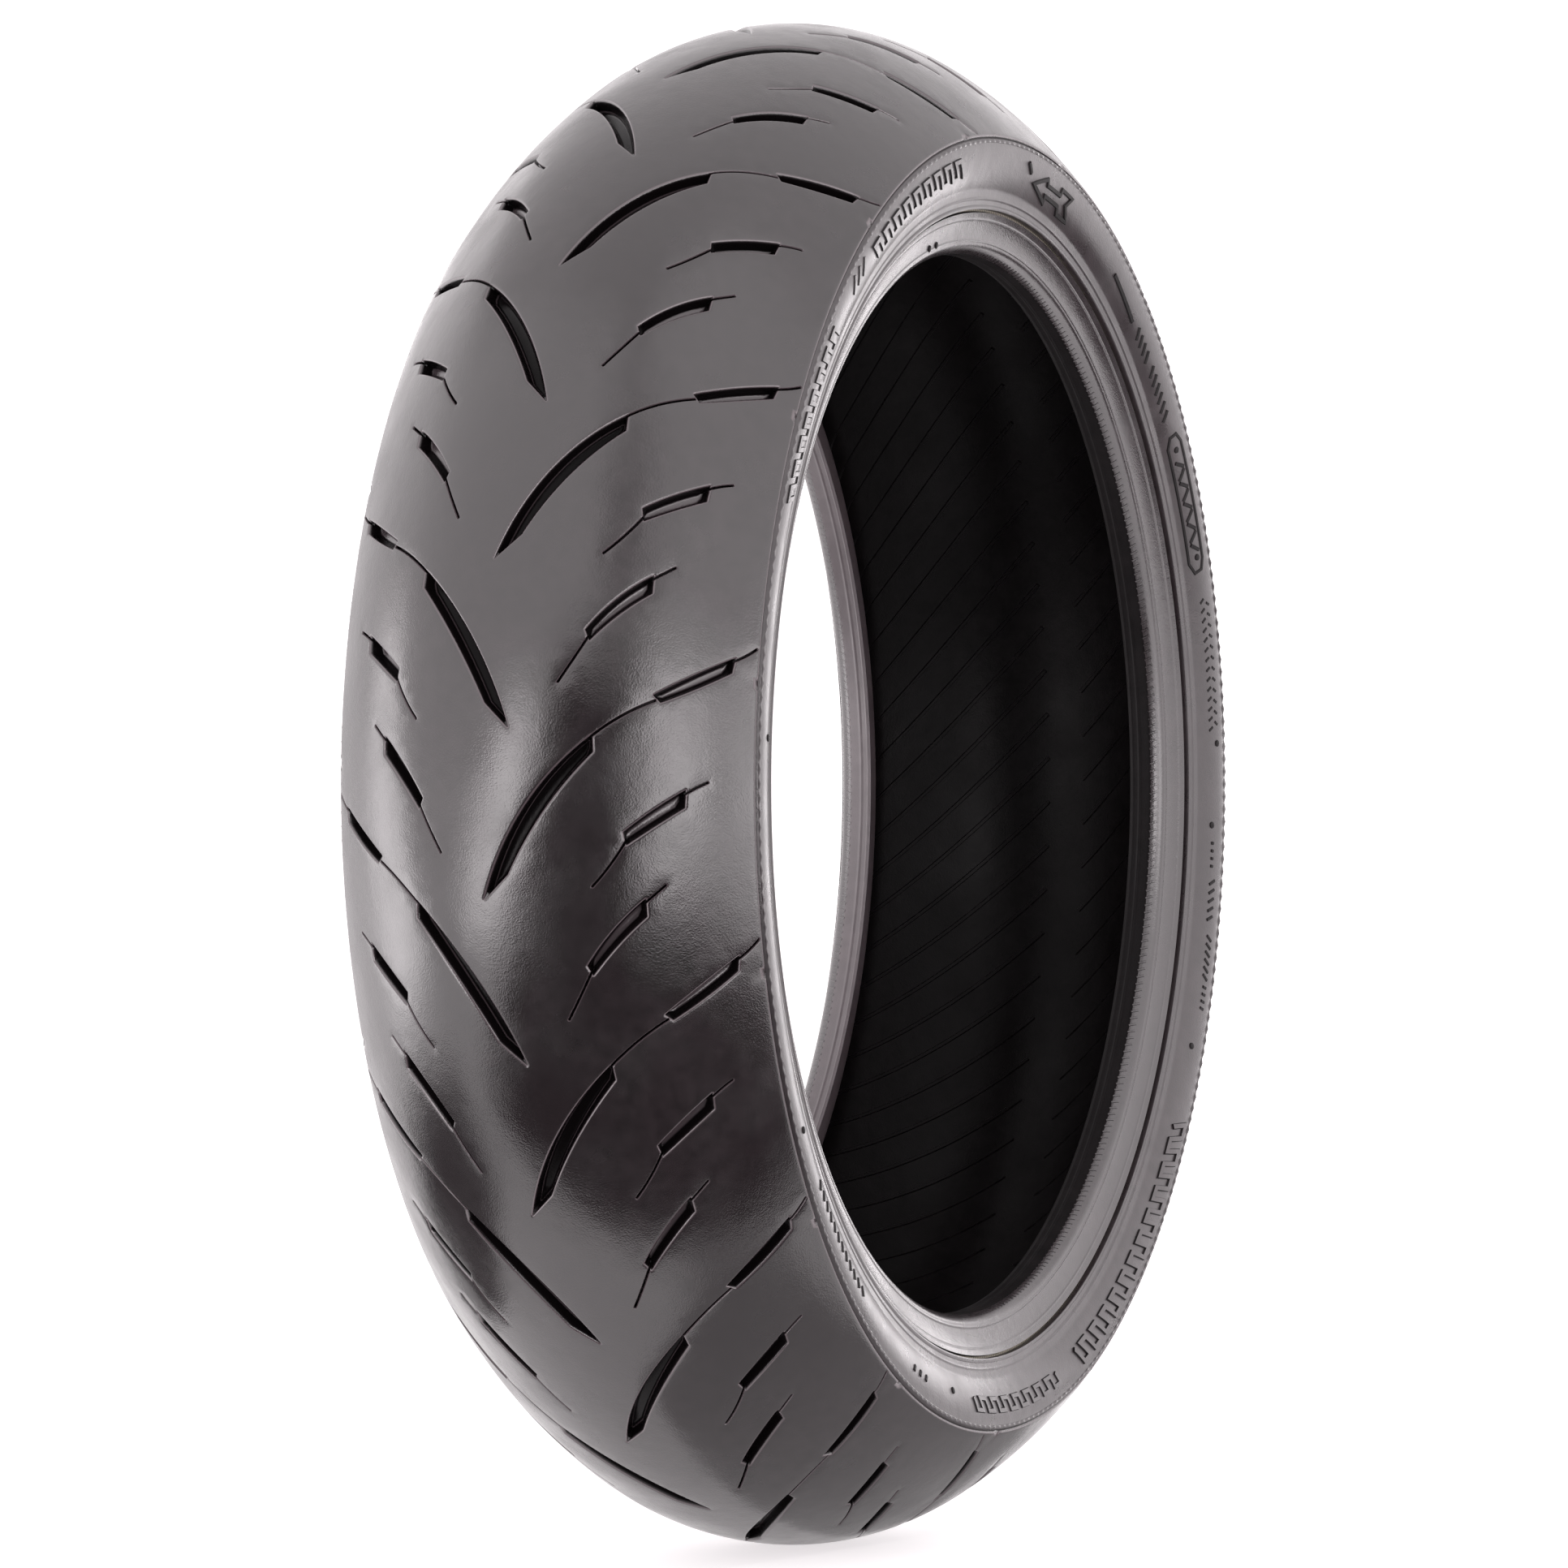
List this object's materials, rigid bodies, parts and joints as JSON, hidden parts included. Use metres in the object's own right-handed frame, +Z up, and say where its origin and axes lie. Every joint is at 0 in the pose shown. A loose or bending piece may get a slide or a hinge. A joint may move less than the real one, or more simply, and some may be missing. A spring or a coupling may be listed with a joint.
{
  "type": "motorcycle tire",
  "caption": "Tubeless radial rear motorcycle tire with directional curved tread grooves, layered belts, plies and wire beads.",
  "frame": {"origin": "centre of the wheel: on the wheel axis, in the middle plane of the tire", "axes": "+Y along the wheel axis towards the left side, +X the way the tire travels, +Z up"},
  "size_m": [0.6204, 0.1742, 0.6204],
  "materials": {
    "tread_rubber": "moulded satin rubber",
    "base_rubber": "soft matte rubber",
    "belt_cord": "cord fabric in rubber",
    "ply_cord": "cord fabric in rubber",
    "liner_rubber": "semi-gloss black rubber with moulded vent lines",
    "bead_wire": "bronze-coated steel wire",
    "bead_fabric": "square-woven nylon in rubber",
    "filler_rubber": "hard matte rubber",
    "bead_rubber": "smooth hard rubber",
    "sidewall_rubber": "fine matte moulded rubber"
  },
  "bodies": {
    "root": {"tread_cap": "tread_rubber", "tread_base": "base_rubber", "jointless_belt": "belt_cord", "breaker_belt_outer": "belt_cord", "breaker_belt_inner": "belt_cord", "belt_edge_strip_left": "base_rubber", "belt_edge_strip_right": "base_rubber", "carcass_ply_outer": "ply_cord", "carcass_ply_inner": "ply_cord", "inner_liner": "liner_rubber", "bead_wire_bundle_left": "bead_wire", "bead_wire_bundle_right": "bead_wire", "bead_wrap_left": "bead_fabric", "bead_wrap_right": "bead_fabric", "bead_filler_left": "filler_rubber", "bead_filler_right": "filler_rubber", "chafer_left": "bead_fabric", "chafer_right": "bead_fabric", "rim_cushion_left": "bead_rubber", "rim_cushion_right": "bead_rubber", "sidewall_left": "sidewall_rubber", "sidewall_right": "sidewall_rubber"}
  },
  "joints": []
}
